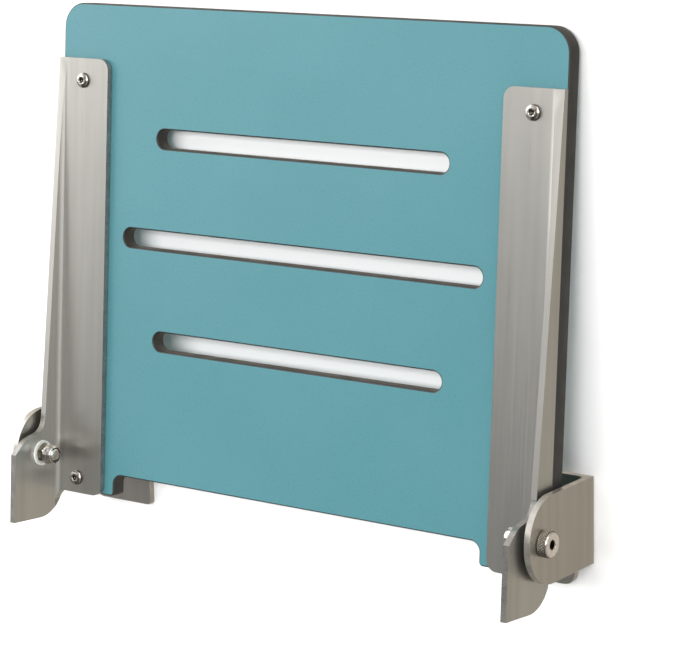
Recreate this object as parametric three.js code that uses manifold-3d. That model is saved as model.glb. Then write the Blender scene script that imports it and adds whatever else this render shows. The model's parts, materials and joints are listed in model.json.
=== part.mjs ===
// Wall-mounted fold-up shower seat, shown folded up and leaning back on the wall.
// Units are millimetres. +Z is up, the wall is the plane Y = 0 and the room is on the -Y side.
// The origin is on the wall, midway between the two brackets, at the height of the hinge line.

import * as THREE from 'three';
import { mergeVertices } from 'three/addons/utils/BufferGeometryUtils.js';
import Module from 'manifold-3d';

const wasm = await Module();
wasm.setup();

// ---------------------------------------------------------------- driving dimensions

const GAP = 0.3;                    // clearance kept between pieces that touch
const PAST = 1;                     // how far a cutting tool runs past the face that it cuts

// seat board: half-inch solid laminate, 18 inches wide
const BOARD_WIDTH = 457;
const BOARD_THICK = 12.7;
const BOARD_TOP = 351.3;            // free edge, above the hinge line when folded up
const BOARD_NOTCH = -14;            // bottom of the middle of the board
const BOARD_TAB_BOTTOM = -31;       // bottom of the two end tabs
const BOARD_TAB_INNER = 170;        // inner side of an end tab, from the middle
const BOARD_CORNER_R = 19;
const BOARD_NOTCH_R = 7.5;
const BOARD_TAB_R = 3;
const BOARD_FRONT = 24.5;           // underside of the board, behind the hinge line

// drain slots, with round ends
const SLOT_HEIGHT = 14.5;
const SLOT_PITCH = 77.7;
const SLOT_LOW_Z = 95.9;
const SLOT_HALF_LENGTHS = [133, 164.4, 133];

// rolled steel angle, three sixteenths of an inch thick
const LEG = 4.76;
const ROOT_R = 5;                   // fillet inside the angle
const ANGLE_CORNER_R = 0.8;         // rounding outside it

// seat arms
const ARM_FLANGE_WIDTH = 49;
const ARM_TOP = 309;
const ARM_FLANGE_BOTTOM = -32;
const ARM_CORNER_R = 8.5;
const HEEL_FRONT = -29.7;           // front edge of the heel
const HEEL_BOTTOM = -52;            // edge that lands on the stop pad
const HEEL_FLAT = 29.7;             // length of that edge
const HEEL_BACK_R = 25.7;           // round at the back of the heel
const HEEL_ROOT_R = 7;              // round where the heel leaves the flange
const WEB_FOOT = [3.9, 28];         // where the tapering front edge ends
const NECK_CURVE = [3.4, 18];       // corner that the hollow above the heel is drawn towards
const NECK_END = [-5, 15.3];
const BROW_START = [-13, 13.4];     // the round that follows it
const BROW_CURVE = [-18.6, 12.2];
const BROW_END = [-22.6, 8.4];      // and the slope down to the heel's front edge
const BROW_FOOT_Z = 1.5;
const ARM_BORE_R = 8.2;

// wall brackets
const PIVOT_TO_WALL = 67.5;
const EAR_OUTER = 237.5;            // outside of the bracket's ear, from the middle
const EAR_HALF_HEIGHT = 31.75;
const EAR_NOSE = 17.4;              // nose in front of the hinge line
const EAR_NOSE_R = 30;              // rounds above and below the nose
const PLATE_WIDTH = 70;
const PLATE_BOTTOM = -49.5;
const PLATE_RELIEF = 13;            // the wall plate's lower end stops short of the ear
const PLATE_CORNER_R = 9;           // lower corner beside the ear
const PLATE_INNER_R = 3;
const WALL_HOLE_R = 4.5;
const WALL_HOLES = [[179, 16], [207, 16], [193, -14]];

// hinge hardware: half-inch shoulder screw with a 3/8 lock nut
const SHOULDER_R = 6.35;
const HINGE_BORE_R = 6.65;
const SHOULDER_LENGTH = 15.88;
const THREAD_R = 4.76;
const THREAD_END = 208.2;
const THREAD_CHAMFER = 0.8;
const HEAD_R = 9.525;
const HEAD_HEIGHT = 7.2;
const HEAD_CHAMFER = 0.7;
const SOCKET_FLATS = 6.35;
const SOCKET_DEPTH = 4.5;
const NUT_FLATS = 14.3;
const NUT_HEX_HEIGHT = 5.6;
const NUT_COLLAR_HEIGHT = 6.8;
const NUT_COLLAR_R = 7;
const NUT_BORE_R = 5.06;
const NUT_CHAMFER = 0.6;            // at both ends of the hexagon
const COLLAR_CHAMFER = 1.4;
const WASHER_R = 9.9;
const WASHER_THICK = 1.5;
const WASHER_CHAMFER = 0.25;
const SPACER_R = 12;
const BUSH_R = 7.9;

// stop pad that the heel lands on when the seat is down
const PAD_WIDTH = 12;
const PAD_TOP = -2.5;
const PAD_BOTTOM = -32;
const PAD_CORNER_R = 2;

// quarter-inch button-head screws that hold the board to the arms
const SCREW_X = 204;
const SCREW_HEIGHTS = { top: 292, bottom: -19.7 };
const SCREW_R = 3.175;
const SCREW_HEAD_R = 5.8;
const SCREW_HEAD_HEIGHT = 2.5;
const SCREW_FLAT_R = 3.2;           // flat on top of the dome
const SCREW_RIM = 0.5;              // height of the straight rim under it
const SCREW_DOME_STEPS = 5;
const SCREW_LENGTH = 12.7;
const SCREW_CHAMFER = 0.6;
const SCREW_SOCKET_FLATS = 3.97;
const SCREW_SOCKET_DEPTH = 1.8;
const SCREW_HOLE_R = 3.6;
const INSERT_R = 4.4;
const INSERT_BORE_R = 3.5;
const INSERT_HOLE_R = 4.7;
const INSERT_LENGTH = 8.7;
const INSERT_HOLE_DEPTH = 9.6;

// ---------------------------------------------------------------- derived dimensions

const HALF_WIDTH = BOARD_WIDTH / 2;
const ARM_FLANGE_FRONT = BOARD_FRONT - GAP - LEG;
const WEB_INNER = HALF_WIDTH - LEG;
const EAR_INNER = EAR_OUTER - LEG;
const BOARD_BACK = BOARD_FRONT + BOARD_THICK;
const SHOULDER_END = EAR_OUTER + GAP - SHOULDER_LENGTH;

// the seat leans back until the top back edge of the board is a gap short of the wall
const REACH = Math.hypot(BOARD_BACK, BOARD_TOP);
const LEAN = Math.asin((PIVOT_TO_WALL - GAP) / REACH) - Math.atan2(BOARD_BACK, BOARD_TOP);

const HALF_TURN = Math.PI;
const QUARTER_TURN = Math.PI / 2;

// ---------------------------------------------------------------- materials

function material(color, roughness, metalness) {
  return new THREE.MeshStandardMaterial({ color, roughness, metalness, flatShading: true });
}

const brushedSteel = () => material(0xa8a7a1, 0.38, 1);
const turnedSteel = () => material(0xbdb7ad, 0.28, 1);
const brightSteel = () => material(0xc8c8c6, 0.16, 1);
const laminate = () => material(0x6b9ca1, 0.5, 0);
const nylon = () => material(0xe4e6e2, 0.5, 0);
const acetal = () => material(0x26282a, 0.5, 0);
const rubber = () => material(0x1d1e1f, 0.8, 0);
const brass = () => material(0xb08d4c, 0.4, 1);

// ---------------------------------------------------------------- solids and booleans

function solidOf(geometry) {
  const bare = geometry.clone();
  bare.deleteAttribute('normal');
  bare.deleteAttribute('uv');
  const welded = mergeVertices(bare, 1e-4);
  const mesh = new wasm.Mesh({
    numProp: 3,
    vertProperties: new Float32Array(welded.attributes.position.array),
    triVerts: new Uint32Array(welded.index.array),
  });
  return new wasm.Manifold(mesh);
}

function geometryOf(solid) {
  const mesh = solid.getMesh();
  const geometry = new THREE.BufferGeometry();
  geometry.setAttribute('position', new THREE.BufferAttribute(mesh.vertProperties, 3));
  geometry.setIndex(new THREE.BufferAttribute(mesh.triVerts, 1));
  geometry.computeVertexNormals();
  return geometry;
}

function cut(solid, tools) {
  return tools.reduce((left, tool) => left.subtract(tool), solid);
}

// A plan drawn in X and Y, pulled up from one height to another.
function pullZ(shape, low, high, curveSegments = 8) {
  const options = { depth: high - low, bevelEnabled: false, curveSegments };
  return solidOf(new THREE.ExtrudeGeometry(shape, options).translate(0, 0, low));
}

// A side view drawn in Y and Z, pulled along X.
function pullX(shape, low, high, curveSegments = 12) {
  const options = { depth: high - low, bevelEnabled: false, curveSegments };
  const turn = new THREE.Matrix4().makeBasis(
    new THREE.Vector3(0, 1, 0),
    new THREE.Vector3(0, 0, 1),
    new THREE.Vector3(1, 0, 0),
  );
  return solidOf(new THREE.ExtrudeGeometry(shape, options).applyMatrix4(turn).translate(low, 0, 0));
}

// A front view drawn in X and Z, pulled along Y.
function pullY(shape, low, high, curveSegments = 8) {
  const options = { depth: high - low, bevelEnabled: false, curveSegments };
  return solidOf(new THREE.ExtrudeGeometry(shape, options).rotateX(QUARTER_TURN).translate(0, high, 0));
}

function barX(radius, low, high, y, z, segments = 32) {
  const bar = new THREE.CylinderGeometry(radius, radius, high - low, segments).rotateZ(QUARTER_TURN);
  return solidOf(bar.translate((low + high) / 2, y, z));
}

function barY(radius, low, high, x, z, segments = 24) {
  const bar = new THREE.CylinderGeometry(radius, radius, high - low, segments);
  return solidOf(bar.translate(x, (low + high) / 2, z));
}

// A closed profile of [radius, distance] points turned about the X axis.
function turnX(profile, segments = 36) {
  const points = profile.map(([radius, x]) => new THREE.Vector2(radius, x));
  return solidOf(new THREE.LatheGeometry(points, segments).rotateZ(-QUARTER_TURN));
}

// The same, turned about an axis along Y.
function turnY(profile, segments = 24) {
  const points = profile.map(([radius, y]) => new THREE.Vector2(radius, y));
  return solidOf(new THREE.LatheGeometry(points, segments));
}

function hexagonRadius(acrossFlats) {
  return acrossFlats / Math.sqrt(3);
}

// ---------------------------------------------------------------- outlines

// A straight-sided outline with its corners rounded: each point is [u, v, radius].
function roundedOutline(points) {
  const shape = new THREE.Shape();
  const count = points.length;
  points.forEach(([u, v, radius = 0], index) => {
    const corner = new THREE.Vector2(u, v);
    const before = new THREE.Vector2(...points[(index + count - 1) % count]).sub(corner);
    const after = new THREE.Vector2(...points[(index + 1) % count]).sub(corner);
    const half = Math.abs(before.angleTo(after)) / 2;
    const back = radius / Math.tan(half);
    const start = corner.clone().addScaledVector(before.clone().normalize(), back);
    const end = corner.clone().addScaledVector(after.clone().normalize(), back);
    if (index === 0) shape.moveTo(start.x, start.y);
    else shape.lineTo(start.x, start.y);
    if (radius > 0) {
      const inward = before.clone().normalize().add(after.clone().normalize()).normalize();
      const centre = corner.clone().addScaledVector(inward, radius / Math.sin(half));
      const from = Math.atan2(start.y - centre.y, start.x - centre.x);
      const to = Math.atan2(end.y - centre.y, end.x - centre.x);
      const clockwise = before.cross(after) > 0;
      shape.absarc(centre.x, centre.y, radius, from, to, clockwise);
    }
  });
  shape.closePath();
  return shape;
}

function slotOutline(halfLength, z) {
  const radius = SLOT_HEIGHT / 2;
  const straight = halfLength - radius;
  const shape = new THREE.Shape();
  shape.moveTo(-straight, z - radius);
  shape.lineTo(straight, z - radius);
  shape.absarc(straight, z, radius, -QUARTER_TURN, QUARTER_TURN, false);
  shape.lineTo(-straight, z + radius);
  shape.absarc(-straight, z, radius, QUARTER_TURN, HALF_TURN + QUARTER_TURN, false);
  return shape;
}

// Plan of a steel angle: a leg along X from `inner` to `outer`, and a leg along Y forward to `front`.
function angleOutline(side, inner, outer, front, back) {
  const points = [
    [inner, back - LEG, 0],
    [outer - LEG, back - LEG, ROOT_R],
    [outer - LEG, front, 0],
    [outer, front, 0],
    [outer, back, ANGLE_CORNER_R],
    [inner, back, 0],
  ];
  return roundedOutline(points.map(([x, y, radius]) => [side * x, y, radius]));
}

// ---------------------------------------------------------------- seat board

function buildBoard() {
  const outline = roundedOutline([
    [-HALF_WIDTH, BOARD_TAB_BOTTOM, BOARD_TAB_R],
    [-BOARD_TAB_INNER, BOARD_TAB_BOTTOM, BOARD_TAB_R],
    [-BOARD_TAB_INNER, BOARD_NOTCH, BOARD_NOTCH_R],
    [BOARD_TAB_INNER, BOARD_NOTCH, BOARD_NOTCH_R],
    [BOARD_TAB_INNER, BOARD_TAB_BOTTOM, BOARD_TAB_R],
    [HALF_WIDTH, BOARD_TAB_BOTTOM, BOARD_TAB_R],
    [HALF_WIDTH, BOARD_TOP, BOARD_CORNER_R],
    [-HALF_WIDTH, BOARD_TOP, BOARD_CORNER_R],
  ]);
  const slots = SLOT_HALF_LENGTHS.map((halfLength, index) => {
    const shape = slotOutline(halfLength, SLOT_LOW_Z + index * SLOT_PITCH);
    return pullY(shape, BOARD_FRONT - PAST, BOARD_BACK + PAST, 12);
  });
  const holes = [-1, 1].flatMap((side) => Object.values(SCREW_HEIGHTS).map(
    (z) => barY(INSERT_HOLE_R, BOARD_FRONT - PAST, BOARD_FRONT + INSERT_HOLE_DEPTH, side * SCREW_X, z),
  ));
  return cut(pullY(outline, BOARD_FRONT, BOARD_BACK), [...slots, ...holes]);
}

// ---------------------------------------------------------------- seat arms

// Side view of an arm: a tapering web above, a forward heel with a round back below.
function armSideOutline() {
  const heelCentreY = HEEL_FRONT + HEEL_FLAT;
  const heelCentreZ = HEEL_BOTTOM + HEEL_BACK_R;
  const shape = new THREE.Shape();
  shape.moveTo(BOARD_FRONT, ARM_TOP);
  shape.lineTo(ARM_FLANGE_FRONT, ARM_TOP);
  shape.lineTo(...WEB_FOOT);
  shape.quadraticCurveTo(...NECK_CURVE, ...NECK_END);
  shape.lineTo(...BROW_START);
  shape.quadraticCurveTo(...BROW_CURVE, ...BROW_END);
  shape.lineTo(HEEL_FRONT, BROW_FOOT_Z);
  shape.lineTo(HEEL_FRONT, HEEL_BOTTOM);
  shape.lineTo(heelCentreY, HEEL_BOTTOM);
  shape.absarc(heelCentreY, heelCentreZ, HEEL_BACK_R, -QUARTER_TURN, 0, false);
  shape.lineTo(BOARD_FRONT, heelCentreZ);
  shape.closePath();
  return shape;
}

// Front view of an arm: the flange ends above the heel, which only the web carries down.
function armFrontOutline(side) {
  const flangeInner = HALF_WIDTH - ARM_FLANGE_WIDTH;
  const heelInner = WEB_INNER - GAP;
  const points = [
    [flangeInner, ARM_TOP, ARM_CORNER_R],
    [flangeInner, ARM_FLANGE_BOTTOM, ARM_CORNER_R],
    [heelInner, ARM_FLANGE_BOTTOM, HEEL_ROOT_R],
    [heelInner, HEEL_BOTTOM - PAST, 0],
    [HALF_WIDTH + PAST, HEEL_BOTTOM - PAST, 0],
    [HALF_WIDTH + PAST, ARM_TOP, 0],
  ];
  return roundedOutline(points.map(([x, z, radius]) => [side * x, z, radius]));
}

function buildArm(side) {
  const flangeInner = HALF_WIDTH - ARM_FLANGE_WIDTH;
  const flangeBack = BOARD_FRONT - GAP;
  const plan = angleOutline(side, flangeInner, HALF_WIDTH, HEEL_FRONT, flangeBack);
  const [low, high] = side > 0 ? [0, HALF_WIDTH + PAST] : [-HALF_WIDTH - PAST, 0];
  const blank = pullZ(plan, HEEL_BOTTOM, ARM_TOP)
    .intersect(pullX(armSideOutline(), low, high))
    .intersect(pullY(armFrontOutline(side), HEEL_FRONT - PAST, BOARD_FRONT + PAST));
  const hinge = barX(ARM_BORE_R, low, high, 0, 0);
  const screws = Object.values(SCREW_HEIGHTS).map(
    (z) => barY(SCREW_HOLE_R, ARM_FLANGE_FRONT - PAST, BOARD_FRONT, side * SCREW_X, z),
  );
  return cut(blank, [hinge, ...screws]);
}

// ---------------------------------------------------------------- wall brackets

function earOutline() {
  const nose = -PIVOT_TO_WALL - EAR_NOSE;
  return roundedOutline([
    [PAST, EAR_HALF_HEIGHT, 0],
    [nose, EAR_HALF_HEIGHT, EAR_NOSE_R],
    [nose, -EAR_HALF_HEIGHT, EAR_NOSE_R],
    [-LEG, -EAR_HALF_HEIGHT, 0],
    [-LEG, PLATE_BOTTOM - PAST, 0],
    [PAST, PLATE_BOTTOM - PAST, 0],
  ]);
}

// Front view of a bracket: the plate runs lower than the ear and stops short of it there.
function plateOutline(side) {
  const inner = EAR_OUTER - PLATE_WIDTH;
  const relief = EAR_OUTER - PLATE_RELIEF;
  const points = [
    [inner, EAR_HALF_HEIGHT, PLATE_INNER_R],
    [inner, PLATE_BOTTOM, PLATE_INNER_R],
    [relief, PLATE_BOTTOM, PLATE_CORNER_R],
    [relief, -EAR_HALF_HEIGHT, 0],
    [EAR_OUTER + PAST, -EAR_HALF_HEIGHT, 0],
    [EAR_OUTER + PAST, EAR_HALF_HEIGHT, 0],
  ];
  return roundedOutline(points.map(([x, z, radius]) => [side * x, z, radius]));
}

function buildBracket(side) {
  const inner = EAR_OUTER - PLATE_WIDTH;
  const noseFront = -PIVOT_TO_WALL - EAR_NOSE;
  const plan = angleOutline(side, inner, EAR_OUTER, noseFront, 0);
  const [low, high] = side > 0 ? [0, EAR_OUTER + PAST] : [-EAR_OUTER - PAST, 0];
  const blank = pullZ(plan, PLATE_BOTTOM, EAR_HALF_HEIGHT)
    .intersect(pullX(earOutline(), low, high, 14))
    .intersect(pullY(plateOutline(side), noseFront - PAST, PAST));
  const hinge = barX(HINGE_BORE_R, low, high, -PIVOT_TO_WALL, 0);
  const wallHoles = WALL_HOLES.map(([x, z]) => barY(WALL_HOLE_R, -LEG - PAST, PAST, side * x, z));
  return cut(blank, [hinge, ...wallHoles]);
}

function buildStopPad(side) {
  const centre = EAR_INNER - ROOT_R - GAP - PAD_WIDTH / 2;
  const front = -PIVOT_TO_WALL - HEEL_BOTTOM + GAP;
  const back = -LEG - GAP;
  const left = side * centre - PAD_WIDTH / 2;
  const right = side * centre + PAD_WIDTH / 2;
  const outline = roundedOutline([
    [left, PAD_BOTTOM, PAD_CORNER_R],
    [right, PAD_BOTTOM, PAD_CORNER_R],
    [right, PAD_TOP, PAD_CORNER_R],
    [left, PAD_TOP, PAD_CORNER_R],
  ]);
  return pullY(outline, front, back, 4);
}

// ---------------------------------------------------------------- hinge hardware

// Built along +X about the hinge line, then turned to face its own side.
function buildPivotBolt() {
  const seatFace = EAR_OUTER + GAP;
  const headFace = seatFace + HEAD_HEIGHT;
  const body = turnX([
    [0, THREAD_END],
    [THREAD_R - THREAD_CHAMFER, THREAD_END],
    [THREAD_R, THREAD_END + THREAD_CHAMFER],
    [THREAD_R, SHOULDER_END],
    [SHOULDER_R, SHOULDER_END],
    [SHOULDER_R, seatFace],
    [HEAD_R, seatFace],
    [HEAD_R, headFace - HEAD_CHAMFER],
    [HEAD_R - HEAD_CHAMFER, headFace],
    [0, headFace],
  ]);
  const socket = barX(hexagonRadius(SOCKET_FLATS), headFace - SOCKET_DEPTH, headFace + PAST, 0, 0, 6);
  return body.subtract(socket);
}

function buildLockNut() {
  const seatFace = SHOULDER_END - GAP;
  const hexFace = seatFace - NUT_HEX_HEIGHT;
  const endFace = hexFace - NUT_COLLAR_HEIGHT;
  const cornerR = hexagonRadius(NUT_FLATS);
  const crown = turnX([
    [0, endFace],
    [NUT_COLLAR_R - COLLAR_CHAMFER, endFace],
    [NUT_COLLAR_R, endFace + COLLAR_CHAMFER],
    [NUT_COLLAR_R, hexFace],
    [NUT_FLATS / 2, hexFace],
    [cornerR, hexFace + NUT_CHAMFER],
    [cornerR, seatFace - NUT_CHAMFER],
    [NUT_FLATS / 2, seatFace],
    [0, seatFace],
  ]);
  const hexagon = barX(cornerR, hexFace, seatFace, 0, 0, 6);
  const collar = barX(cornerR, endFace - PAST, hexFace, 0, 0);
  const bore = barX(NUT_BORE_R, endFace - PAST, seatFace + PAST, 0, 0);
  return crown.intersect(hexagon.add(collar)).subtract(bore);
}

function buildRing(outerR, low, high, chamfer = 0) {
  return turnX([
    [HINGE_BORE_R, low],
    [outerR - chamfer, low],
    [outerR, low + chamfer],
    [outerR, high - chamfer],
    [outerR - chamfer, high],
    [HINGE_BORE_R, high],
    [HINGE_BORE_R, low],
  ]);
}

// ---------------------------------------------------------------- board fasteners

// Built along Y about the screw's own axis.
function buildButtonScrew() {
  const seatFace = ARM_FLANGE_FRONT - GAP;
  const headFace = seatFace - SCREW_HEAD_HEIGHT;
  const dome = Array.from({ length: SCREW_DOME_STEPS + 1 }, (_, step) => {
    const turn = (step / SCREW_DOME_STEPS) * QUARTER_TURN;
    const radius = SCREW_FLAT_R + (SCREW_HEAD_R - SCREW_FLAT_R) * Math.cos(turn);
    const rise = (SCREW_HEAD_HEIGHT - SCREW_RIM) * Math.sin(turn);
    return [radius, seatFace - SCREW_RIM - rise];
  }).reverse();
  const body = turnY([
    [0, headFace],
    ...dome,
    [SCREW_HEAD_R, seatFace],
    [SCREW_R, seatFace],
    [SCREW_R, seatFace + SCREW_LENGTH - SCREW_CHAMFER],
    [SCREW_R - SCREW_CHAMFER, seatFace + SCREW_LENGTH],
    [0, seatFace + SCREW_LENGTH],
  ]);
  const socketR = hexagonRadius(SCREW_SOCKET_FLATS);
  return body.subtract(barY(socketR, headFace - PAST, headFace + SCREW_SOCKET_DEPTH, 0, 0, 6));
}

function buildInsert() {
  const front = BOARD_FRONT + GAP;
  const back = front + INSERT_LENGTH;
  return turnY([
    [INSERT_BORE_R, front],
    [INSERT_R, front],
    [INSERT_R, back],
    [INSERT_BORE_R, back],
    [INSERT_BORE_R, front],
  ], 16);
}

// ---------------------------------------------------------------- assembly

function addPiece(group, name, solid, surface) {
  const mesh = new THREE.Mesh(geometryOf(solid), surface);
  mesh.name = name;
  group.add(mesh);
  return mesh;
}

const showerSeat = new THREE.Group();
showerSeat.name = 'shower_seat';

// the hinge line, in front of the wall
const hingeLine = new THREE.Group();
hingeLine.position.set(0, -PIVOT_TO_WALL, 0);
showerSeat.add(hingeLine);

// the folding seat, leaning back about the hinge line
const seat = new THREE.Group();
seat.rotation.x = -LEAN;
hingeLine.add(seat);

addPiece(seat, 'seat_board', buildBoard(), laminate());

for (const [sideName, side] of [['left', -1], ['right', 1]]) {
  addPiece(showerSeat, `${sideName}_wall_bracket`, buildBracket(side), brushedSteel());
  addPiece(showerSeat, `${sideName}_stop_pad`, buildStopPad(side), rubber());

  const hardware = new THREE.Group();
  if (side < 0) hardware.rotation.z = HALF_TURN;
  hingeLine.add(hardware);
  addPiece(hardware, `${sideName}_pivot_bolt`, buildPivotBolt(), turnedSteel());
  addPiece(hardware, `${sideName}_lock_nut`, buildLockNut(), brightSteel());
  const spacer = buildRing(SPACER_R, HALF_WIDTH + GAP, EAR_INNER - GAP);
  addPiece(hardware, `${sideName}_spacer_washer`, spacer, acetal());
  const washerBack = WEB_INNER - GAP;
  const washer = buildRing(WASHER_R, washerBack - WASHER_THICK, washerBack, WASHER_CHAMFER);
  addPiece(hardware, `${sideName}_nylon_washer`, washer, nylon());

  const bushing = new THREE.Group();
  if (side < 0) bushing.rotation.z = HALF_TURN;
  seat.add(bushing);
  addPiece(bushing, `${sideName}_arm_bush`, buildRing(BUSH_R, WEB_INNER, HALF_WIDTH), nylon());

  addPiece(seat, `${sideName}_arm`, buildArm(side), brushedSteel());
  for (const [level, z] of Object.entries(SCREW_HEIGHTS)) {
    const screw = addPiece(seat, `${sideName}_${level}_screw`, buildButtonScrew(), turnedSteel());
    screw.position.set(side * SCREW_X, 0, z);
    const insert = addPiece(seat, `${sideName}_${level}_insert`, buildInsert(), brass());
    insert.position.set(side * SCREW_X, 0, z);
  }
}

export default showerSeat;
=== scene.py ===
"""Looks of a wall-mounted fold-up shower seat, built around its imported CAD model.

Units are metres. The wall is the plane Y = 0, the room is on the -Y side, and +Z is up.
Seat pieces are built in the seat's own frame: the hinge line is its origin and its board stands upright.
"""
import json
import math

import bmesh
import bpy
from mathutils import Euler, Matrix, Vector


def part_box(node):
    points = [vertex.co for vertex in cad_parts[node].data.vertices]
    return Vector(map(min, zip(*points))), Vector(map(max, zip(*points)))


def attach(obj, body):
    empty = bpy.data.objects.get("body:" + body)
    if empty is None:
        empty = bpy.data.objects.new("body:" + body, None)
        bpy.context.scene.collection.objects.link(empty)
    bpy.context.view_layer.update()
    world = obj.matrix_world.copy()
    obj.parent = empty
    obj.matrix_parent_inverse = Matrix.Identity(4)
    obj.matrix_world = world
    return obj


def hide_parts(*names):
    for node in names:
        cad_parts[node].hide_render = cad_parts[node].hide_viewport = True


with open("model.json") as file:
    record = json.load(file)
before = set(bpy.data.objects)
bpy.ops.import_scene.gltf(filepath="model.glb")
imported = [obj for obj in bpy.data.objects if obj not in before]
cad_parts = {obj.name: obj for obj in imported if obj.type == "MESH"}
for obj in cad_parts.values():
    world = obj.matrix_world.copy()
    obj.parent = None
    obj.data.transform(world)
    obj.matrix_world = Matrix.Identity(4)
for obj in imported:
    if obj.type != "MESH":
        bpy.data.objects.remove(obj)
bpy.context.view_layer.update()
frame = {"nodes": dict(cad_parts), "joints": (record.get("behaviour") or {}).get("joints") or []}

MM = 0.001
SIDES = {"left": -1, "right": 1}

# the hinge, and the seat's lean back from upright when it is folded up
hinge = frame["joints"][0]
HINGE_POINT = Vector(hinge["pos_m"])
LEAN = math.radians(hinge["range_deg"][1] - 90)
hinge_place = Matrix.Translation(HINGE_POINT)
seat_place = hinge_place @ Matrix.Rotation(-LEAN, 4, "X")
wall_place = Matrix.Identity(4)


def local_box(node, place):
    """Lowest and highest corner of a CAD node in the frame that `place` puts into the row frame."""
    back = place.inverted()
    points = [back @ vertex.co for vertex in frame["nodes"][node].data.vertices]
    low, high = (Vector([pick(axis) for axis in zip(*points)]) for pick in (min, max))
    return low, high


# ---------------------------------------------------------------- dimensions

ARC_STEP = 5                        # degrees between the points of an arc

# seat board
BOARD_NOTCH = -14 * MM
BOARD_TAB_INNER = 170 * MM
BOARD_CORNER_R = 19 * MM
BOARD_NOTCH_R = 7.5 * MM
BOARD_TAB_R = 3 * MM
BOARD_EASE = 1.1 * MM               # eased edge that shows the black core
HAIR = 0.005 * MM                   # keeps the board's top inside the CAD box
SLOT_HEIGHT = 14.5 * MM
SLOT_PITCH = 77.7 * MM
SLOT_LOW_Z = 95.9 * MM
SLOT_HALF_LENGTHS = [133 * MM, 164.4 * MM, 133 * MM]

# board fasteners
SCREW_X = 204 * MM
SCREW_HEIGHTS = {"top": 292 * MM, "bottom": -19.7 * MM}

# steel angle of the arms and the wall brackets
LEG = 4.76 * MM                     # thickness
ROOT_R = 5 * MM                     # fillet inside the angle
STEEL_EASE = 0.4 * MM               # its eased edges

HINGE_BORE_R = 6.65 * MM

# ---------------------------------------------------------------- camera

CAMERA_PLACE = (1.1683, -1.5648, 0.5333)
CAMERA_TURN = (78.666, 1.228, 36.193)
CAMERA_LENS_MM = 141.79
CAMERA_SHIFT = (0.0109, -0.0543)

camera_data = bpy.data.cameras.new("camera")
camera_data.lens = CAMERA_LENS_MM
camera_data.sensor_width = 36
camera_data.shift_x, camera_data.shift_y = CAMERA_SHIFT
camera = bpy.data.objects.new("camera", camera_data)
camera.location = CAMERA_PLACE
camera.rotation_euler = Euler([math.radians(turn) for turn in CAMERA_TURN])
bpy.context.scene.collection.objects.link(camera)
bpy.context.scene.camera = camera


# ---------------------------------------------------------------- materials

class Surface:
    """A material as it is put together: a Principled shader, and the nodes that feed it."""

    def __init__(self, name, **constants):
        self.material = bpy.data.materials.new(name)
        self.material.use_nodes = True
        self.tree = self.material.node_tree
        self.shader = self.tree.nodes["Principled BSDF"]
        for socket, value in constants.items():
            self.shader.inputs[socket.replace("_", " ")].default_value = value

    def node(self, kind, inputs=None, **settings):
        node = self.tree.nodes.new("ShaderNode" + kind)
        for name, value in settings.items():
            setattr(node, name, value)
        for socket, value in (inputs or {}).items():
            self.feed(node, socket, value)
        return node

    def feed(self, node, socket, value):
        if isinstance(value, bpy.types.NodeSocket):
            self.tree.links.new(value, node.inputs[socket])
        else:
            node.inputs[socket].default_value = value

    def noise(self, coordinates, scale, stretch=(1, 1, 1), detail=2, roughness=0.5):
        mapping = self.node("Mapping", {"Vector": coordinates, "Scale": stretch})
        made = self.node("TexNoise", {
            "Vector": mapping.outputs["Vector"], "Scale": scale,
            "Detail": detail, "Roughness": roughness,
        })
        return made.outputs["Fac"]

    def spread(self, value, low, high, source=(0, 1)):
        """The value spread between low and high."""
        return self.node("MapRange", {
            "Value": value, "From Min": source[0], "From Max": source[1],
            "To Min": low, "To Max": high,
        }).outputs["Result"]

    def blend(self, factor, first, second):
        made = self.node("Mix", {"Factor": factor}, data_type="RGBA")
        self.feed(made, 6, (*first, 1) if isinstance(first, tuple) else first)
        self.feed(made, 7, (*second, 1) if isinstance(second, tuple) else second)
        return made.outputs[2]

    def bump(self, height, strength, distance, below=None):
        inputs = {"Height": height, "Strength": strength, "Distance": distance}
        if below is not None:
            inputs["Normal"] = below
        return self.node("Bump", inputs).outputs["Normal"]

    def shade(self, **sockets):
        for socket, value in sockets.items():
            self.feed(self.shader, socket.replace("_", " "), value)
        return self.material


def brushed_steel(name, tone, dark, roughness):
    """Sheet steel brushed along V, with U across the brush lines. The UV map is in metres."""
    surface = Surface(name, Metallic=1.0, Anisotropic=0.65)
    across = surface.node("UVMap", uv_map="surface").outputs["UV"]
    fine = surface.noise(across, 1, (2600, 26, 1), detail=3, roughness=0.7)
    lines = surface.noise(across, 1, (700, 5, 1), detail=2)
    bands = surface.noise(across, 1, (95, 3, 1), detail=1)
    patches = surface.noise(across, 18, (1, 0.45, 1), detail=3)
    streaks = surface.node("Math", {0: fine, 1: lines}, operation="ADD").outputs[0]
    worn = surface.node("Math", {0: bands, 1: patches}, operation="ADD").outputs[0]
    colour = surface.blend(surface.spread(worn, 0, 1, (0.6, 1.4)), dark, tone)
    colour = surface.blend(surface.spread(streaks, 0, 0.30, (0.7, 1.3)), colour, dark)
    rough = surface.spread(streaks, roughness - 0.07, roughness + 0.09, (0.6, 1.4))
    normal = surface.bump(fine, 0.16, 0.03 * MM)
    normal = surface.bump(lines, 0.22, 0.06 * MM, normal)
    tangent = surface.node("Tangent", direction_type="UV_MAP", uv_map="surface").outputs["Tangent"]
    return surface.shade(Base_Color=colour, Roughness=rough, Normal=normal, Tangent=tangent)


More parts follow.
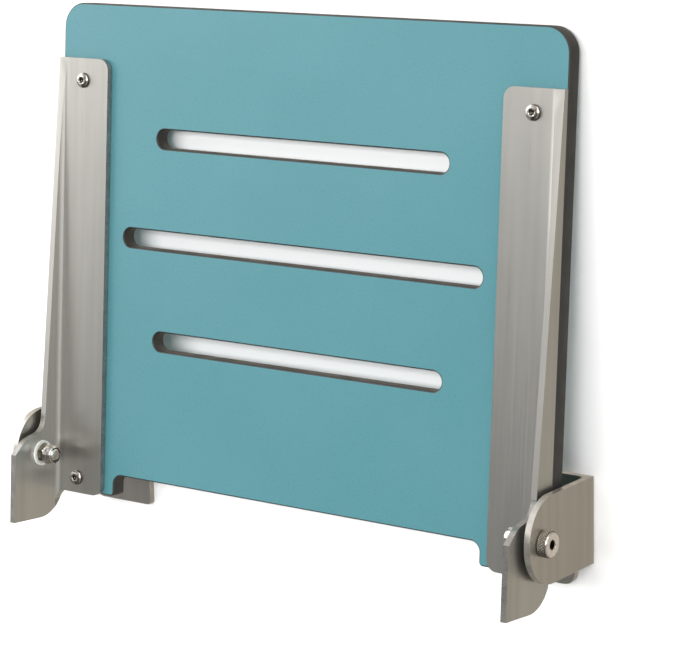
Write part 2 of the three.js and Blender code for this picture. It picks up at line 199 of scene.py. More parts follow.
def cut_steel(name, tone, dark):
    """Sawn and ground edges of the steel angle: even, with short scratches and rubbed spots."""
    surface = Surface(name, Metallic=0.85)
    place = surface.node("TexCoord").outputs["Object"]
    scratches = surface.noise(place, 1, (900, 900, 4200), detail=3, roughness=0.65)
    spots = surface.noise(place, 140, detail=3)
    colour = surface.blend(surface.spread(spots, 0, 1, (0.35, 0.65)), dark, tone)
    rough = surface.spread(scratches, 0.24, 0.38, (0.3, 0.7))
    normal = surface.bump(scratches, 0.25, 0.02 * MM)
    return surface.shade(Base_Color=colour, Roughness=rough, Normal=normal)


def bright_steel(name, tone, dark, roughness):
    """Turned or polished steel, with faint tool marks and a little grime."""
    surface = Surface(name, Metallic=1.0)
    place = surface.node("TexCoord").outputs["Object"]
    marks = surface.noise(place, 1, (5200, 700, 700), detail=2)
    grime = surface.noise(place, 420, detail=4, roughness=0.6)
    colour = surface.blend(surface.spread(grime, 0, 1, (0.35, 0.7)), tone, dark)
    rough = surface.spread(marks, roughness - 0.05, roughness + 0.10, (0.3, 0.7))
    normal = surface.bump(marks, 0.25, 0.01 * MM)
    return surface.shade(Base_Color=colour, Roughness=rough, Normal=normal)


def laminate_face():
    """Satin decor face of a solid laminate: an even colour under a fine leathery stipple."""
    surface = Surface("laminate_face", IOR=1.75)
    place = surface.node("TexCoord").outputs["Object"]
    stipple = surface.noise(place, 1500, detail=3, roughness=0.6)
    pebbles = surface.node("TexVoronoi", {"Vector": place, "Scale": 900}).outputs["Distance"]
    cloud = surface.noise(place, 9, detail=4, roughness=0.55)
    colour = surface.blend(surface.spread(cloud, 0, 1, (0.35, 0.65)), TEAL_DEEP, TEAL)
    colour = surface.blend(surface.spread(stipple, 0, 0.35, (0.45, 0.8)), colour, TEAL_PALE)
    rough = surface.spread(stipple, 0.27, 0.38, (0.35, 0.65))
    normal = surface.bump(pebbles, 0.10, 0.05 * MM)
    normal = surface.bump(stipple, 0.12, 0.04 * MM, normal)
    return surface.shade(Base_Color=colour, Roughness=rough, Normal=normal)


def laminate_core():
    """Machined edge of the black core, with its paper layers across the thickness."""
    surface = Surface("laminate_core", IOR=1.5)
    place = surface.node("TexCoord").outputs["Object"]
    layers = surface.noise(place, 1, (16, 5200, 16), detail=2)
    smudge = surface.noise(place, 60, detail=3)
    colour = surface.blend(surface.spread(layers, 0, 1, (0.35, 0.65)), CORE_DARK, CORE_PALE)
    rough = surface.spread(smudge, 0.38, 0.60, (0.3, 0.7))
    normal = surface.bump(layers, 0.25, 0.03 * MM)
    return surface.shade(Base_Color=colour, Roughness=rough, Normal=normal)


def nylon():
    surface = Surface("white_nylon", IOR=1.53, Subsurface_Weight=0.25, Subsurface_Scale=1.5 * MM)
    surface.shader.inputs["Subsurface Radius"].default_value = (1, 0.9, 0.8)
    place = surface.node("TexCoord").outputs["Object"]
    grain = surface.noise(place, 2400, detail=3)
    smudge = surface.noise(place, 260, detail=2)
    colour = surface.blend(surface.spread(smudge, 0, 1, (0.35, 0.65)), NYLON_DULL, NYLON_WHITE)
    rough = surface.spread(grain, 0.38, 0.55, (0.3, 0.7))
    return surface.shade(Base_Color=colour, Roughness=rough, Normal=surface.bump(grain, 0.2, 0.02 * MM))


def acetal():
    surface = Surface("black_acetal", IOR=1.48)
    place = surface.node("TexCoord").outputs["Object"]
    rings = surface.noise(place, 1, (3600, 500, 500), detail=2)
    smudge = surface.noise(place, 220, detail=3)
    colour = surface.blend(surface.spread(smudge, 0, 1, (0.35, 0.7)), ACETAL_BLACK, ACETAL_GREY)
    rough = surface.spread(rings, 0.36, 0.52, (0.3, 0.7))
    return surface.shade(Base_Color=colour, Roughness=rough, Normal=surface.bump(rings, 0.25, 0.01 * MM))


def rubber():
    surface = Surface("black_rubber", IOR=1.5)
    place = surface.node("TexCoord").outputs["Object"]
    grain = surface.noise(place, 1900, detail=4, roughness=0.65)
    dust = surface.noise(place, 130, detail=3)
    colour = surface.blend(surface.spread(dust, 0, 1, (0.45, 0.8)), RUBBER_BLACK, RUBBER_DUSTY)
    rough = surface.spread(grain, 0.62, 0.85, (0.3, 0.7))
    return surface.shade(Base_Color=colour, Roughness=rough, Normal=surface.bump(grain, 0.35, 0.06 * MM))


def brass():
    surface = Surface("insert_brass", Metallic=1.0)
    place = surface.node("TexCoord").outputs["Object"]
    marks = surface.noise(place, 1, (900, 5200, 900), detail=2)
    tarnish = surface.noise(place, 320, detail=3)
    colour = surface.blend(surface.spread(tarnish, 0, 1, (0.4, 0.75)), BRASS_BRIGHT, BRASS_DULL)
    rough = surface.spread(marks, 0.25, 0.42, (0.3, 0.7))
    return surface.shade(Base_Color=colour, Roughness=rough, Normal=surface.bump(marks, 0.3, 0.01 * MM))


TEAL = (0.057, 0.188, 0.216)
TEAL_DEEP = (0.050, 0.178, 0.205)
TEAL_PALE = (0.074, 0.211, 0.238)
CORE_DARK = (0.016, 0.016, 0.016)
CORE_PALE = (0.030, 0.029, 0.028)
NYLON_WHITE = (0.80, 0.81, 0.78)
NYLON_DULL = (0.70, 0.71, 0.68)
ACETAL_BLACK = (0.022, 0.022, 0.023)
ACETAL_GREY = (0.042, 0.042, 0.043)
RUBBER_BLACK = (0.018, 0.018, 0.018)
RUBBER_DUSTY = (0.045, 0.044, 0.042)
BRASS_BRIGHT = (0.62, 0.44, 0.19)
BRASS_DULL = (0.36, 0.24, 0.10)

LAMINATE_FACE = laminate_face()
LAMINATE_CORE = laminate_core()
ARM_STEEL = brushed_steel("arm_steel", (0.63, 0.62, 0.59), (0.49, 0.48, 0.45), 0.33)
BRACKET_STEEL = brushed_steel("bracket_steel", (0.60, 0.58, 0.53), (0.47, 0.45, 0.41), 0.34)
# the arms' cut edges: a darkened copy of the brackets' cut steel, as painted shade
ARM_EDGE_SHADED = cut_steel("arm_edge_shaded", (0.34, 0.33, 0.315), (0.26, 0.25, 0.235))
BRACKET_EDGE = cut_steel("bracket_edge", (0.54, 0.52, 0.48), (0.42, 0.40, 0.37))
# near-black steel that paints the shade inside the hex sockets and round the button heads' rims
SOCKET_SHADE_STEEL = bright_steel("socket_shade", (0.16, 0.14, 0.12), (0.05, 0.04, 0.035), 0.22)
TURNED_STEEL = bright_steel("turned_steel", (0.80, 0.76, 0.69), (0.48, 0.43, 0.36), 0.20)
# the head's face: its rougher turned finish is real, its paler tone is painted light
TURNED_FACE_LIT = bright_steel("turned_face_lit", (0.94, 0.90, 0.86), (0.70, 0.65, 0.60), 0.46)
# near-black steel that paints the shade deep in the knurl's grooves
KNURL_GROOVE_SHADE = bright_steel("knurl_groove_shade", (0.06, 0.045, 0.03), (0.02, 0.015, 0.01), 0.45)
POLISHED_STEEL = bright_steel("polished_steel", (0.72, 0.70, 0.66), (0.20, 0.17, 0.14), 0.09)
# a darkened copy of the nut's steel: painted shade and dark reflection on the hexagon's sides
NUT_FACET_SHADE = bright_steel("nut_facet_shade", (0.30, 0.27, 0.22), (0.06, 0.05, 0.04), 0.16)
NUT_CROWN = bright_steel("nut_crown", (0.78, 0.76, 0.72), (0.12, 0.10, 0.08), 0.09)
SCREW_STEEL = bright_steel("screw_steel", (0.78, 0.75, 0.69), (0.14, 0.12, 0.10), 0.12)
WHITE_NYLON = nylon()
BLACK_ACETAL = acetal()
BLACK_RUBBER = rubber()
INSERT_BRASS = brass()


# ---------------------------------------------------------------- outlines

def arc(centre, radius, start, end):
    """Points of an arc, from one angle to another in degrees."""
    count = max(2, math.ceil(abs(end - start) / ARC_STEP))
    turns = [math.radians(start + (end - start) * step / count) for step in range(count + 1)]
    return [(centre[0] + radius * math.cos(t), centre[1] + radius * math.sin(t)) for t in turns]


def long_slot(half_length, z):
    radius = SLOT_HEIGHT / 2
    straight = half_length - radius
    return arc((straight, z), radius, -90, 90) + arc((-straight, z), radius, 90, 270)


def without_repeats(points, least=1e-6):
    kept = []
    for point in map(Vector, points):
        if not kept or (point - kept[-1]).length > least:
            kept.append(point)
    if (kept[0] - kept[-1]).length <= least:
        kept.pop()
    return kept


def moved_left(ring, distance):
    """A closed ring of points moved to its own left, so that a counter-clockwise ring shrinks."""
    moved = []
    for before, here, after in zip(ring[-1:] + ring[:-1], ring, ring[1:] + ring[:1]):
        first, second = (here - before).normalized(), (after - here).normalized()
        first_left, second_left = Vector((-first.y, first.x)), Vector((-second.y, second.x))
        moved.append(here + (first_left + second_left) * distance / (1 + first_left.dot(second_left)))
    return moved


# ---------------------------------------------------------------- mesh builders

EASE_STEPS = 3
SHARP_ANGLE = math.radians(32)
FLAT = 0.999                        # how closely a normal has to follow an axis
SLACK = 0.1 * MM
WELD = 0.002 * MM
JOIN_ANGLE = math.radians(0.6)      # facets this close to one plane are joined


def plate(outer, holes, thick, ease):
    """A flat plate in U and V with eased edges, its thickness along W about zero.
    Both caps get material 0, and its edges and hole walls get material 1."""
    bm = bmesh.new()
    quarter = [math.radians(90 * step / EASE_STEPS) for step in range(EASE_STEPS + 1)]
    profile = [(ease * (1 - math.sin(t)), thick / 2 - ease * (1 - math.cos(t))) for t in quarter]
    profile += [(inset, -w) for inset, w in reversed(profile)]
    rims = [[], []]
    for ring in [without_repeats(outer)] + [without_repeats(hole)[::-1] for hole in holes]:
        rows = [[bm.verts.new((*point, w)) for point in moved_left(ring, inset)] for inset, w in profile]
        for upper, lower in zip(rows, rows[1:]):
            for i in range(len(ring)):
                face = bm.faces.new((upper[i - 1], upper[i], lower[i], lower[i - 1]))
                face.material_index = 1
        for rim, row in zip(rims, (rows[0], rows[-1])):
            rim += [bm.edges.get((row[i - 1], row[i])) for i in range(len(ring))]
    for rim in rims:
        for edge in rim:
            edge.smooth = False
        bmesh.ops.triangle_fill(bm, use_beauty=True, edges=rim)
    return bm


def turned(rings, count):
    """A piece turned about X. Each ring is (x, radius, material of the faces up to the next ring),
    where the radius is a number or a function of the angle and x. A ring of radius 0 is a point on
    the axis, and a piece that has none is closed by joining its last ring to its first."""
    bm = bmesh.new()
    rows = []
    for x, radius, _ in rings:
        if radius == 0:
            rows.append([bm.verts.new((x, 0, 0))] * count)
            continue
        row = []
        for step in range(count):
            angle = 2 * math.pi * step / count
            reach = radius(angle, x) if callable(radius) else radius
            row.append(bm.verts.new((x, reach * math.cos(angle), reach * math.sin(angle))))
        rows.append(row)
    pairs = list(zip(rows, rows[1:]))
    if rings[0][1] != 0:
        pairs.append((rows[-1], rows[0]))
    for (first, second), (_, _, material) in zip(pairs, rings):
        for i in range(count):
            corners = dict.fromkeys((first[i - 1], first[i], second[i], second[i - 1]))
            bm.faces.new(list(corners)).material_index = material
    return bm


def piece(name, bm, place, body, nodes, materials):
    """Turns a bmesh into a piece of the object that rides on a body and stands for CAD nodes."""
    bmesh.ops.recalc_face_normals(bm, faces=bm.faces[:])
    for face in bm.faces:
        face.smooth = True
    for edge in bm.edges:
        if edge.is_manifold and edge.calc_face_angle() > SHARP_ANGLE:
            edge.smooth = False
    mesh = bpy.data.meshes.new(name)
    bm.to_mesh(mesh)
    bm.free()
    for material in materials:
        mesh.materials.append(material)
    made = bpy.data.objects.new(name, mesh)
    made.matrix_world = place
    bpy.context.scene.collection.objects.link(made)
    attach(made, body)
    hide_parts(*nodes)
    return made


def on_leg(face, back, side, corner):
    """Whether a face lies along one of an angle's two legs or round its root, rather than where it is cut.
    `corner` is the X and Y of the angle's outer corner on the right-hand side."""
    centre, normal = back @ face.calc_center_median(), back.to_3x3() @ face.normal
    in_x, in_y = corner[0] - side * centre.x, corner[1] - centre.y
    if abs(normal.z) > FLAT:
        return False
    if abs(normal.x) > FLAT:
        return in_x < LEG + SLACK
    if abs(normal.y) > FLAT:
        return in_y < LEG + SLACK
    return in_x < LEG + ROOT_R and in_y < LEG + ROOT_R


def build_angle(node, name, side, place, body, materials):
    """A copy of a CAD node of steel angle: facets joined, edges eased, and cut faces set apart."""
    low, high = local_box(node, place)
    corner = (max(high.x, -low.x), high.y)
    back = place.inverted()
    bm = bmesh.new()
    bm.from_mesh(frame["nodes"][node].data)
    bmesh.ops.remove_doubles(bm, verts=bm.verts[:], dist=WELD)
    bmesh.ops.dissolve_limit(bm, angle_limit=JOIN_ANGLE, verts=bm.verts[:], edges=bm.edges[:])
    for face in bm.faces:
        face.material_index = 0 if on_leg(face, back, side, corner) else 1
    rim = [edge for edge in bm.edges if edge.calc_face_angle() > SHARP_ANGLE]
    bmesh.ops.bevel(bm, geom=rim, offset=STEEL_EASE, offset_type="OFFSET", segments=EASE_STEPS,
                    profile=0.5, affect="EDGES", material=1, clamp_overlap=True)
    layer = bm.loops.layers.uv.new("surface")
    for face in bm.faces:
        for loop in face.loops:
            x, y, z = back @ loop.vert.co
            loop[layer].uv = (side * x - y, z)
    made = piece(name, bm, Matrix.Identity(4), body, [node], materials)
    made.modifiers.new("normals", "WEIGHTED_NORMAL").keep_sharp = True


# ---------------------------------------------------------------- seat board

board_low, board_high = local_box("seat_board", seat_place)


def board_outline():
    width, top, tab_bottom = board_high.x, board_high.z - HAIR, board_low.z
    right = (
        arc((BOARD_TAB_INNER - BOARD_NOTCH_R, BOARD_NOTCH - BOARD_NOTCH_R), BOARD_NOTCH_R, 90, 0)
        + arc((BOARD_TAB_INNER + BOARD_TAB_R, tab_bottom + BOARD_TAB_R), BOARD_TAB_R, 180, 270)
        + arc((width - BOARD_TAB_R, tab_bottom + BOARD_TAB_R), BOARD_TAB_R, 270, 360)
        + arc((width - BOARD_CORNER_R, top - BOARD_CORNER_R), BOARD_CORNER_R, 0, 90)
    )
    return right + [(-u, v) for u, v in reversed(right)]


def build_board():
    slots = [long_slot(half, SLOT_LOW_Z + row * SLOT_PITCH) for row, half in enumerate(SLOT_HALF_LENGTHS)]
    bm = plate(board_outline(), slots, board_high.y - board_low.y, BOARD_EASE)
    middle = (board_low.y + board_high.y) / 2
    for vertex in bm.verts:
        u, v, w = vertex.co
        vertex.co = (u, middle + w, v)
    piece("board_panel", bm, seat_place, "seat", ["seat_board"],
          [LAMINATE_FACE, LAMINATE_CORE])


# ---------------------------------------------------------------- stop pads

PAD_CORNER_R = 2 * MM
PAD_EASE = 1.2 * MM


def build_stop_pad(side_name):
    low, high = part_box(f"{side_name}_stop_pad")
    corners = [(high.x, high.z, 0), (low.x, high.z, 90), (low.x, low.z, 180), (high.x, low.z, 270)]
    outline = []
    for x, z, start in corners:
        inward_x = -PAD_CORNER_R if x == high.x else PAD_CORNER_R
        inward_z = -PAD_CORNER_R if z == high.z else PAD_CORNER_R
        outline += arc((x + inward_x, z + inward_z), PAD_CORNER_R, start, start + 90)
    bm = plate(outline, [], high.y - low.y, PAD_EASE)
    for face in bm.faces:
        face.material_index = 0
    for vertex in bm.verts:
        u, v, w = vertex.co
        vertex.co = (u, (low.y + high.y) / 2 + w, v)
    piece(f"{side_name}_stop_rubber", bm, wall_place, "wall_frame", [f"{side_name}_stop_pad"],
          [BLACK_RUBBER])


# ---------------------------------------------------------------- hinge hardware

HEAD_R = 9.525 * MM
HEAD_HEIGHT = 7.2 * MM
HEAD_CHAMFER = 0.9 * MM
HEAD_EASE, HEAD_EASE_R = 0.3 * MM, 0.4 * MM             # under the head
FACE_EASE, FACE_EASE_R = 0.15 * MM, 0.2 * MM            # round its face
SHOULDER_EASE = 0.3 * MM
TIP_LENGTH, TIP_DEPTH = 0.7 * MM, 1.2 * MM              # lead at the thread's end
RUNOUT_LENGTH, RUNOUT_DEPTH = 0.4 * MM, 0.5 * MM        # relief where the thread meets the shoulder
HINGE_SCREW_STEPS = 276             # steps round a hinge screw, a nut and a washer
NUT_STEPS = 96
WASHER_STEPS = 96
SOCKET_SHADE, HEAD_FACE, GROOVE_SHADE, HEAD_RING = 1, 2, 3, 4        # places in the hinge screw's materials; the socket and the knurl's grooves get painted shade
SHOULDER_R = 6.35 * MM
SHOULDER_LENGTH = 15.88 * MM
SOCKET_FLATS = 6.35 * MM
SOCKET_DEPTH = 4.5 * MM
SOCKET_LEAD = 0.35 * MM             # countersink at a socket's mouth
DRILL_DEPTH = 1.1 * MM              # cone that the drill leaves under a socket
DRILL_SHARE = 0.92                  # its radius, as a share of half the socket's flats
THREAD_R = 4.76 * MM
THREAD_PITCH = 1.5875 * MM
THREAD_DEPTH = 0.8 * MM
THREAD_ROW = 0.2 * MM
KNURL_TEETH = 28
KNURL_PITCH = 2.3 * MM
KNURL_DEPTH = 0.42 * MM
KNURL_ROW = 0.2 * MM
KNURL_WIDTH = 0.62                  # share of a tooth that its groove takes
KNURL_MARGIN = 0.35 * MM            # plain edge at both ends of the knurl
GROOVE_SHADE_LEVEL = 0.46                  # share of a groove's depth where its painted shade starts
NUT_FLATS = 14.3 * MM
NUT_HEX_HEIGHT = 5.6 * MM
NUT_COLLAR_R = 7 * MM
NUT_CHAMFER = 0.6 * MM
NUT_MOUTH_R = THREAD_R + 0.2 * MM
NUT_BORE_R = THREAD_R + 0.1 * MM
SEAT_SHARE, STEP_SHARE = 0.97, 0.985                    # of half the flats, at the hexagon's two ends
COLLAR_FOOT, COLLAR_FOOT_R = 0.5 * MM, 0.1 * MM         # small fillet where the collar starts
COLLAR_FOOT_STEP = 0.1 * MM
COLLAR_ROUND = 1.2 * MM
COLLAR_STEPS = 4
NUT_RING_R = 5.7 * MM               # plastic ring inside the collar
NUT_RING_INNER_R = THREAD_R + 0.3 * MM
NUT_RING_DEPTH, NUT_RING_INNER_DEPTH = 0.35 * MM, 0.5 * MM
NUT_RING_BASE = 1.2 * MM
NUT_PLASTIC, NUT_SHADED_SIDES = 1, 2       # places in the nut's materials; its hexagon's sides get painted shade
WASHER_ROUND = 0.35 * MM
WASHER_ROUND_STEPS = 3


def hexagon(flats, limit=math.inf):
    """Radius of a hexagon with a corner on top, cut off at a round limit."""
    def radius(angle, _):
        from_corner = (angle - math.pi / 2) % (math.pi / 3)
        return min(flats / 2 / math.cos(from_corner - math.pi / 6), limit)
    return radius


def knurl(angle, x):
    """Radius of a diamond knurl: two families of grooves that cross round the head."""
    grooves = []
    for slant in (-1, 1):
        phase = (angle / (2 * math.pi) * KNURL_TEETH + slant * x / KNURL_PITCH) % 1
        grooves.append(max(0, 1 - abs(phase - 0.5) * 2 / KNURL_WIDTH))
    return HEAD_R - KNURL_DEPTH * max(grooves)


def thread(angle, x):
    """Radius of a helical thread with a sharp crest and root."""
    phase = (x / THREAD_PITCH - angle / (2 * math.pi)) % 1
    return THREAD_R - THREAD_DEPTH * abs(phase - 0.5) * 2


def steps_between(start, end, step):
    count = max(1, round(abs(end - start) / step))
    return [start + (end - start) * i / count for i in range(count + 1)]


def socket_rings(face, flats, depth):
    """Rings of a hexagon socket from its mouth to the bottom of its drilled cone."""
    mouth = flats / math.sqrt(3) + SOCKET_LEAD
    # the socket's walls and drilled cone take the near-black steel, as painted shade
    return [
        (face, mouth, 0),
        (face - SOCKET_LEAD, hexagon(flats), SOCKET_SHADE),
        (face - depth, hexagon(flats), SOCKET_SHADE),
        (face - depth - SOCKET_LEAD, flats / 2 * DRILL_SHARE, SOCKET_SHADE),
        (face - depth - SOCKET_LEAD - DRILL_DEPTH, 0, 0),
    ]


def hardware_place(side):
    return hinge_place @ Matrix.Rotation(0 if side > 0 else math.pi, 4, "Z")


def build_hinge_screw(side_name, side):
    low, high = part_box("right_pivot_bolt")
    face, end = high.x, low.x
    seat_face = face - HEAD_HEIGHT
    shoulder_end = seat_face - SHOULDER_LENGTH
    knurl_end = face - HEAD_CHAMFER
    knurl_rows = steps_between(seat_face + KNURL_MARGIN, knurl_end - KNURL_MARGIN, KNURL_ROW)
    thread_rows = steps_between(end + TIP_LENGTH, shoulder_end - RUNOUT_LENGTH, THREAD_ROW)
    rings = (
        [(end, 0, 0), (end, THREAD_R - TIP_DEPTH, 0)]
        + [(x, thread, 0) for x in thread_rows]
        + [(shoulder_end, THREAD_R - RUNOUT_DEPTH, 0), (shoulder_end, SHOULDER_R - SHOULDER_EASE, 0)]
        + [(shoulder_end + SHOULDER_EASE, SHOULDER_R, 0), (seat_face, SHOULDER_R, 0)]
        + [(seat_face, HEAD_R - HEAD_EASE_R, 0), (seat_face + HEAD_EASE, HEAD_R - KNURL_DEPTH, 0)]
        + [(x, knurl, 0) for x in knurl_rows]
        + [(knurl_end, HEAD_R - KNURL_DEPTH, HEAD_RING), (face - FACE_EASE, HEAD_R - HEAD_CHAMFER, HEAD_RING)]
        + [(face, HEAD_R - HEAD_CHAMFER - FACE_EASE_R, HEAD_FACE)]
        + socket_rings(face, SOCKET_FLATS, SOCKET_DEPTH)
    )
    bm = turned(rings, HINGE_SCREW_STEPS)
    # faces deep in the knurl's grooves get painted shade
    for facet in bm.faces:
        middle = facet.calc_center_median()
        depth = HEAD_R - middle.yz.length
        in_groove = KNURL_DEPTH * GROOVE_SHADE_LEVEL < depth < HEAD_R - SHOULDER_R
        if in_groove and seat_face < middle.x < knurl_end:
            facet.material_index = GROOVE_SHADE
    piece(f"{side_name}_hinge_screw", bm, hardware_place(side), "wall_frame", [f"{side_name}_pivot_bolt"],
          [TURNED_STEEL, SOCKET_SHADE_STEEL, TURNED_FACE_LIT, KNURL_GROOVE_SHADE, POLISHED_STEEL])


def build_lock_nut(side_name, side):
    low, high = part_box("right_lock_nut")
    seat_face, end = high.x, low.x
    hex_face = seat_face - NUT_HEX_HEIGHT
    corner = NUT_FLATS / math.sqrt(3)
    flat = NUT_FLATS / 2
    rings = [
        (seat_face, NUT_MOUTH_R, 0),
        (seat_face, flat * SEAT_SHARE, 0),
        (seat_face - NUT_CHAMFER, hexagon(NUT_FLATS), NUT_SHADED_SIDES),
        (hex_face + NUT_CHAMFER, hexagon(NUT_FLATS), 0),
        (hex_face + NUT_CHAMFER / 2, hexagon(NUT_FLATS, (corner + flat) / 2), 0),
        (hex_face, flat * STEP_SHARE, 0),
        (hex_face - COLLAR_FOOT_STEP, NUT_COLLAR_R + COLLAR_FOOT_R, 0),
        (hex_face - COLLAR_FOOT, NUT_COLLAR_R, 0),
    ]
    for step in range(COLLAR_STEPS + 1):
        turn = math.radians(90 * step / COLLAR_STEPS)
        rings.append((end + COLLAR_ROUND * (1 - math.sin(turn)),
                      NUT_COLLAR_R - COLLAR_ROUND * (1 - math.cos(turn)), 0))
    rings += [
        (end + NUT_RING_DEPTH, NUT_RING_R, NUT_PLASTIC),
        (end + NUT_RING_INNER_DEPTH, NUT_RING_INNER_R, NUT_PLASTIC),
        (end + NUT_RING_BASE, NUT_BORE_R, 0),
    ]
    piece(f"{side_name}_hinge_nut", turned(rings, NUT_STEPS), hardware_place(side), "wall_frame",
          [f"{side_name}_lock_nut"], [NUT_CROWN, BLACK_ACETAL, NUT_FACET_SHADE])


def washer_rings(low_x, high_x, inner, outer):
    """Rings of a flat washer whose edges are a little rounded."""
    rings = []
    corners = ((high_x, outer, 0), (low_x, outer, 90), (low_x, inner, 180), (high_x, inner, 270))
    for x, radius, start in corners:
        centre_x = x + (-WASHER_ROUND if x == high_x else WASHER_ROUND)
        centre_r = radius + (-WASHER_ROUND if radius == outer else WASHER_ROUND)
        for step in range(WASHER_ROUND_STEPS + 1):
            turn = math.radians(start + 90 / WASHER_ROUND_STEPS * step)
            rings.append((centre_x + WASHER_ROUND * math.cos(turn),
                          centre_r + WASHER_ROUND * math.sin(turn), 0))
    return rings


def build_washer(side_name, side, node, name, place, body, material):
    """A plastic washer, spacer or bush: its width, place and size are its CAD node's."""
    low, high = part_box(f"right_{node}")
    outer = (high.z - low.z) / 2
    rings = washer_rings(low.x, high.x, HINGE_BORE_R, outer)
    turn = Matrix.Rotation(0 if side > 0 else math.pi, 4, "Z")
    piece(f"{side_name}_{name}", turned(rings, WASHER_STEPS), place @ turn, body, [f"{side_name}_{node}"],
          [material])


# ---------------------------------------------------------------- board fasteners

BUTTON_R = 5.8 * MM
BUTTON_HEIGHT = 2.5 * MM
BUTTON_FLAT_R = 3.1 * MM
BUTTON_RIM = 0.45 * MM
BUTTON_EASE = 0.15 * MM             # eased edge under the head
BUTTON_STEPS = 72
BUTTON_SOCKET_FLATS = 3.97 * MM
BUTTON_SOCKET_DEPTH = 1.8 * MM
SCREW_R = 3.175 * MM
SCREW_LENGTH = 12.7 * MM
SCREW_LEAD = 0.6 * MM               # chamfer at the screw's end
DOME_STEPS = 10
SHADED_RIM_STEPS = 2                  # steps of the dome, from its rim, painted with the sockets' near-black steel as a contact shadow


def build_button_screw(side_name, side, level):
    """A button-head socket screw, turned along X with its head at +X, then faced towards -Y."""
    low, _ = local_box(f"{side_name}_{level}_screw", seat_place)
    seat_face, end = -BUTTON_HEIGHT, -BUTTON_HEIGHT - SCREW_LENGTH
    rings = [(end, 0, 0), (end, SCREW_R - SCREW_LEAD, 0), (end + SCREW_LEAD, SCREW_R, 0)]
    rings += [(seat_face, SCREW_R, 0), (seat_face, BUTTON_R - BUTTON_EASE, 0)]
    # the head's side and the foot of its dome get painted shade: a dark rim like a contact shadow
    rings.append((seat_face + BUTTON_EASE, BUTTON_R, SOCKET_SHADE))
    rise = BUTTON_HEIGHT - BUTTON_RIM
    for step in range(DOME_STEPS + 1):
        turn = math.radians(90 * step / DOME_STEPS)
        radius = BUTTON_FLAT_R + (BUTTON_R - BUTTON_FLAT_R) * math.cos(turn)
        material = SOCKET_SHADE if step < SHADED_RIM_STEPS else 0
        rings.append((seat_face + BUTTON_RIM + rise * math.sin(turn), radius, material))
    rings += socket_rings(0, BUTTON_SOCKET_FLATS, BUTTON_SOCKET_DEPTH)
    spot = Matrix.Translation((side * SCREW_X, low.y, SCREW_HEIGHTS[level]))
    facing = Matrix.Rotation(-math.pi / 2, 4, "Z")
    place = seat_place @ spot @ facing
    piece(f"{side_name}_{level}_button_screw", turned(rings, BUTTON_STEPS), place, "seat",
          [f"{side_name}_{level}_screw"], [SCREW_STEEL, SOCKET_SHADE_STEEL])


def finish_insert(node):
    """A threaded insert stays as its CAD solid, sealed in the board, with a brass surface."""
    solid = frame["nodes"][node]
    solid.data.materials.clear()
    solid.data.materials.append(INSERT_BRASS)


# ---------------------------------------------------------------- assembly

build_board()
for side_name, side in SIDES.items():
    build_angle(f"{side_name}_arm", f"{side_name}_arm_angle", side, seat_place, "seat",
                [ARM_STEEL, ARM_EDGE_SHADED])
    build_angle(f"{side_name}_wall_bracket", f"{side_name}_bracket_angle", side, wall_place, "wall_frame",
                [BRACKET_STEEL, BRACKET_EDGE])
    build_stop_pad(side_name)
    build_hinge_screw(side_name, side)
    build_lock_nut(side_name, side)
    build_washer(side_name, side, "nylon_washer", "white_washer", hinge_place, "wall_frame",
                 WHITE_NYLON)
    build_washer(side_name, side, "spacer_washer", "thick_washer", hinge_place, "wall_frame",
                 BLACK_ACETAL)
    build_washer(side_name, side, "arm_bush", "plain_bush", seat_place, "seat", WHITE_NYLON)
    for level in SCREW_HEIGHTS:
        build_button_screw(side_name, side, level)
        finish_insert(f"{side_name}_{level}_insert")


# ---------------------------------------------------------------- wall, floor and light

FLOOR_Z = -0.44
WALL_Y = 0.0008
WALL_PAINT = (0.86, 0.86, 0.86)
FLOOR_PAINT = (0.78, 0.78, 0.78)


def one_sided(name, colour):
    """Plain pale paint that is seen from its front only."""
    surface = Surface(name, Roughness=0.85)
    place = surface.node("TexCoord").outputs["Object"]
    grain = surface.noise(place, 350, detail=3)
    surface.shade(Base_Color=(*colour, 1), Normal=surface.bump(grain, 0.05, 0.1 * MM))
    behind = surface.node("NewGeometry").outputs["Backfacing"]
    clear = surface.node("BsdfTransparent").outputs["BSDF"]
    mixed = surface.node("MixShader", {0: behind, 1: surface.shader.outputs["BSDF"], 2: clear})
    output = surface.tree.nodes["Material Output"]
    surface.tree.links.new(mixed.outputs["Shader"], output.inputs["Surface"])
    return surface.material


def stage_sheet(name, corners, material):
    bm = bmesh.new()
    bm.faces.new([bm.verts.new(corner) for corner in corners])
    mesh = bpy.data.meshes.new(name)
    bm.to_mesh(mesh)
    bm.free()
    mesh.materials.append(material)
    made = bpy.data.objects.new(name, mesh)
    bpy.context.scene.collection.objects.link(made)
    return made


wall = stage_sheet("wall", [(-5, WALL_Y, FLOOR_Z), (5, WALL_Y, FLOOR_Z), (5, WALL_Y, 4), (-5, WALL_Y, 4)],
                   one_sided("wall_paint", WALL_PAINT))
wall.visible_diffuse = wall.visible_glossy = wall.visible_shadow = False
floor = stage_sheet("floor", [(-5, -5, FLOOR_Z), (5, -5, FLOOR_Z), (5, 5, FLOOR_Z), (-5, 5, FLOOR_Z)],
                    one_sided("floor_paint", FLOOR_PAINT))
floor.visible_glossy = False


def softbox(name, place, target, width, height, watts, colour=(1, 1, 1)):
    data = bpy.data.lights.new(name, "AREA")
    data.shape = "RECTANGLE"
    data.size, data.size_y = width, height
    data.energy = watts
    data.color = colour
    made = bpy.data.objects.new(name, data)
    made.location = place
    made.rotation_euler = (Vector(target) - Vector(place)).to_track_quat("-Z", "Y").to_euler()
    made.visible_glossy = False
    bpy.context.scene.collection.objects.link(made)
    return made


softbox("key_light", (0, -3, 0.92), (0, 0, 0.1), 3.2, 0.8, 100)
softbox("side_light", (-2.1, -1.6, 2.0), (0, 0, 0.1), 2.0, 1.6, 24)

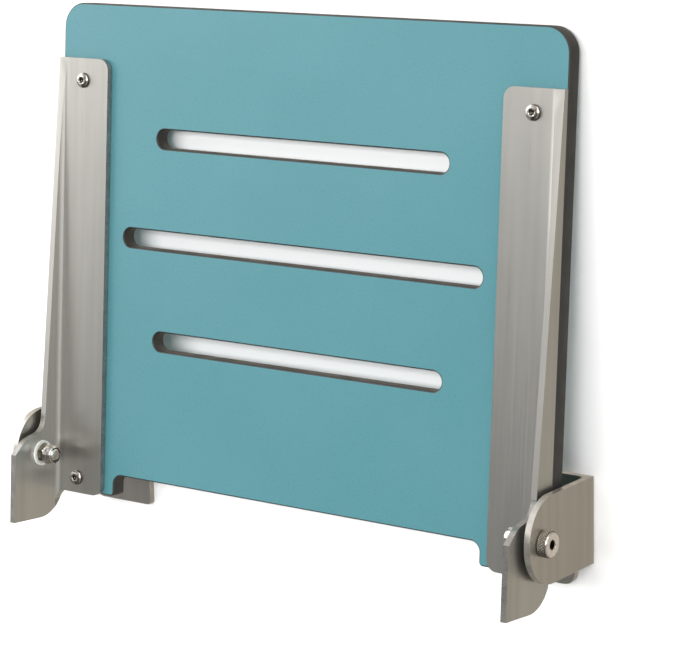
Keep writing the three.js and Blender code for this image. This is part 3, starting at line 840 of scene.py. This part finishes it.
# strength of the room's light by height, in front of the wall and behind it
FRONT_LOW, FRONT_HIGH = 0.21, 1.60
FRONT_RISE = (-0.16, 0.24)
LEFT_LOW, LEFT_HIGH = 0.47, 2.6       # and how much of it comes from the left
LEFT_RISE = (-0.80, -0.45)
RIGHT_GAIN = 4.0                    # times what comes from the middle
RIGHT_RISE = (0.15, 0.50)
BACK_LOW, BACK_HIGH = 0.52, 1.0
BACK_RISE = (0.2, 0.8)
WALL_BLEND = (-0.1, 0.2)            # where the front's light gives way to the back's
BACK_COLOUR = (1, 0.92, 0.79, 1)
SEEN_GREY = (0.86, 0.86, 0.86, 1)   # what the camera sees of the room
NO_LIGHT = (0, 0, 0, 1)
FRONT_COLOUR = (1, 0.99, 0.975, 1)
DIFFUSE_SHARE = 0.12                # of the room's light that reaches matt surfaces


def world_light():
    """A pale room that is seen in the steel, and an even pale grey where it is seen directly."""
    world = bpy.data.worlds.new("studio")
    world.use_nodes = True
    bpy.context.scene.world = world
    tree = world.node_tree
    nodes, links = tree.nodes, tree.links

    def ramp(value, rise, low, high):
        made = nodes.new("ShaderNodeMapRange")
        made.interpolation_type = "SMOOTHSTEP"
        for socket, number in zip(("From Min", "From Max", "To Min", "To Max"), (*rise, low, high)):
            made.inputs[socket].default_value = number
        links.new(value, made.inputs["Value"])
        return made.outputs["Result"]

    def product(first, second):
        made = nodes.new("ShaderNodeMath")
        made.operation = "MULTIPLY"
        links.new(first, made.inputs[0])
        links.new(second, made.inputs[1])
        return made.outputs[0]

    def background(colour, strength=None):
        made = nodes.new("ShaderNodeBackground")
        made.inputs["Color"].default_value = colour
        if strength is not None:
            links.new(strength, made.inputs["Strength"])
        return made.outputs["Background"]

    def pick(factor, first, second):
        made = nodes.new("ShaderNodeMixShader")
        for socket, value in enumerate((factor, first, second)):
            links.new(value, made.inputs[socket])
        return made.outputs["Shader"]

    split = nodes.new("ShaderNodeSeparateXYZ")
    links.new(nodes.new("ShaderNodeTexCoord").outputs["Generated"], split.inputs[0])
    path = nodes.new("ShaderNodeLightPath").outputs
    height = ramp(split.outputs["Z"], FRONT_RISE, FRONT_LOW, FRONT_HIGH)
    leftward = ramp(split.outputs["X"], LEFT_RISE, LEFT_HIGH, LEFT_LOW)
    rightward = ramp(split.outputs["X"], RIGHT_RISE, 1, RIGHT_GAIN)
    front = background(FRONT_COLOUR, product(product(height, leftward), rightward))
    back = background(BACK_COLOUR, ramp(split.outputs["Z"], BACK_RISE, BACK_LOW, BACK_HIGH))
    room = pick(ramp(split.outputs["Y"], WALL_BLEND, 0, 1), front, back)
    dimming = ramp(path["Is Diffuse Ray"], (0, 1), 0, 1 - DIFFUSE_SHARE)
    dim_room = pick(dimming, room, background(NO_LIGHT))
    shown = pick(path["Is Camera Ray"], dim_room, background(SEEN_GREY))
    links.new(shown, nodes["World Output"].inputs["Surface"])


world_light()
bpy.context.scene.view_settings.view_transform = "Standard"
